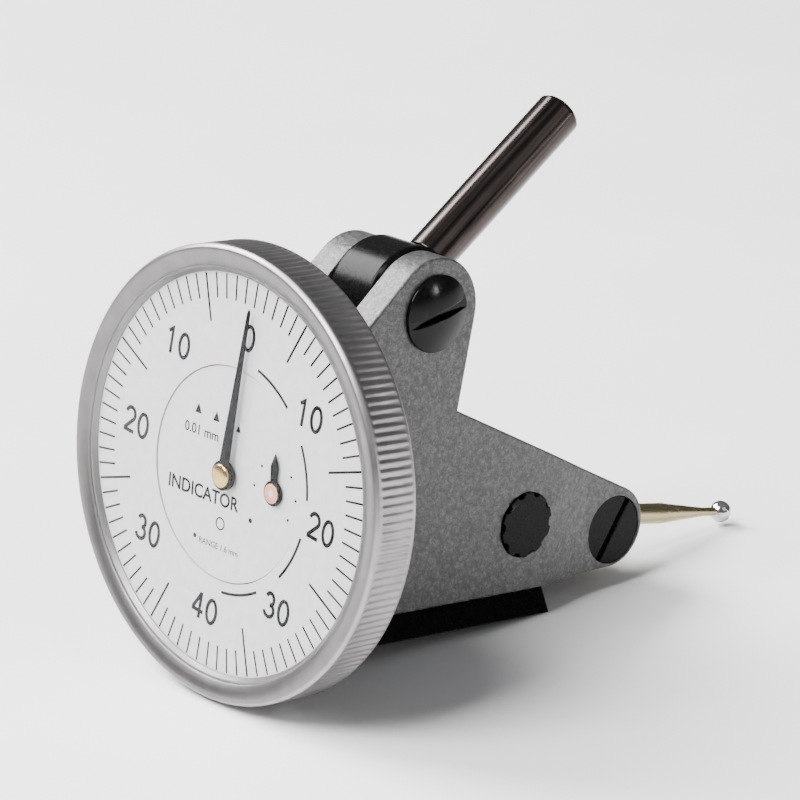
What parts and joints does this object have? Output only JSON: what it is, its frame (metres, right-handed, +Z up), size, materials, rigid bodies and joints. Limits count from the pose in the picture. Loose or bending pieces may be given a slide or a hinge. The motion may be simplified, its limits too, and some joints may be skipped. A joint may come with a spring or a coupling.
{
  "type": "lever dial indicator",
  "caption": "Lever dial indicator: turning knurled dial on a wedge body, ball stylus in a forked nose, stem that swivels between two ears, dovetail rail beneath.",
  "frame": {"origin": "centre of the bounding box in plan, on the surface that the indicator lies on (bezel edge and rail end touching)", "axes": "+X from the dial towards the stylus, +Z up, Y along the swivel and lever axes"},
  "size_m": [0.0626, 0.038, 0.0447],
  "materials": {
    "body_paint": "grey hammered enamel",
    "black_oxide": "black oxide",
    "stem_steel": "dark polished oxide",
    "steel": "turned",
    "spring_steel": "blued",
    "brass": "turned",
    "jewel": "polished ruby",
    "dial_white": "matt white enamel with black print",
    "bezel_satin": "satin, fine straight knurl",
    "crystal": "clear polished acrylic",
    "hand_black": "satin black",
    "copper": "polished copper",
    "stylus_steel": "straw-tempered",
    "carbide": "polished carbide"
  },
  "bodies": {
    "housing_group": {"housing": "body_paint", "bezel_wire": "steel", "movement_frame": "brass", "frame_screws": "steel", "dial_posts": "brass", "dial_centre": "dial_white", "hand_bush": "brass", "counter_bush": "brass", "crown_bushes": "jewel", "rear_cock": "brass", "cock_screw": "steel", "hairspring": "spring_steel", "hairspring_stud": "brass", "dovetail_rail": "black_oxide", "rail_screws": "black_oxide", "bearing_plug_left": "black_oxide", "bearing_plug_right": "black_oxide", "pivot_bearing_left": "black_oxide", "pivot_bearing_right": "black_oxide"},
    "bezel_group": {"bezel": "bezel_satin", "crystal": "crystal", "tension_ring": "bezel_satin", "dial_ring": "dial_white"},
    "hand_group": {"hand_arbor": "steel", "hairspring_collet": "brass", "main_hand": "hand_black", "hand_boss": "brass", "counter_drive": "brass"},
    "counter_group": {"counter_arbor": "steel", "counter_wheel": "brass", "counter_hand": "hand_black", "counter_boss": "copper"},
    "crown_group": {"crown_arbor": "steel", "crown_wheel": "brass"},
    "sector_group": {"sector_arbor": "steel", "sector_lever": "brass"},
    "lever_group": {"lever_shaft": "steel", "lever_arm": "steel", "friction_washer": "brass", "friction_nut": "brass"},
    "stylus_group": {"stylus_hub": "black_oxide", "stylus_shank": "stylus_steel", "stylus_ball": "carbide"},
    "stem_group": {"swivel_barrel": "black_oxide", "stem": "stem_steel"},
    "clamp_group": {"clamp_screw": "black_oxide"}
  },
  "joints": [
    {"name": "bezel_turn", "type": "hinge", "parent": "housing_group", "child": "bezel_group", "pos_m": [-0.02919, 0, 0.01935], "axis": [0.9934, 0, -0.1143], "continuous": true},
    {"name": "lever_swing", "type": "hinge", "parent": "housing_group", "child": "lever_group", "pos_m": [0.0117, 0, 0.00558], "axis": [0, -1, 0], "range_deg": [0, 4.8], "stiffness_Nm_per_rad": 0.02, "springref_deg": -5.73},
    {"name": "stylus_swivel", "type": "hinge", "parent": "lever_group", "child": "stylus_group", "pos_m": [0.0117, 0, 0.00558], "axis": [0, -1, 0], "range_deg": [-95, 90]},
    {"name": "sector_swing", "type": "hinge", "parent": "housing_group", "child": "sector_group", "pos_m": [0.00014, 0, 0.00923], "axis": [0, 1, 0], "range_deg": [0, 9.6]},
    {"name": "crown_turn", "type": "hinge", "parent": "housing_group", "child": "crown_group", "pos_m": [-0.01407, 0, 0.01761], "axis": [0, -1, 0], "range_deg": [0, 96]},
    {"name": "hand_turn", "type": "hinge", "parent": "housing_group", "child": "hand_group", "pos_m": [-0.02919, 0, 0.01935], "axis": [0.9934, 0, -0.1143], "range_deg": [0, 720]},
    {"name": "counter_turn", "type": "hinge", "parent": "housing_group", "child": "counter_group", "pos_m": [-0.02919, -0.0059, 0.01935], "axis": [0.9934, 0, -0.1143], "range_deg": [-90, 0]},
    {"name": "stem_swivel", "type": "hinge", "parent": "housing_group", "child": "stem_group", "pos_m": [-0.0104, 0, 0.03047], "axis": [0, 1, 0], "range_deg": [-100, 58]},
    {"name": "clamp_turn", "type": "hinge", "parent": "housing_group", "child": "clamp_group", "pos_m": [-0.0104, -0.0055, 0.03047], "axis": [0, -1, 0], "range_deg": [0, 180]}
  ],
  "couplings": [
    {"joint": "sector_swing", "follows": "lever_swing", "ratio": 2},
    {"joint": "crown_turn", "follows": "lever_swing", "ratio": 20},
    {"joint": "hand_turn", "follows": "lever_swing", "ratio": 150},
    {"joint": "counter_turn", "follows": "lever_swing", "ratio": -18.75}
  ]
}
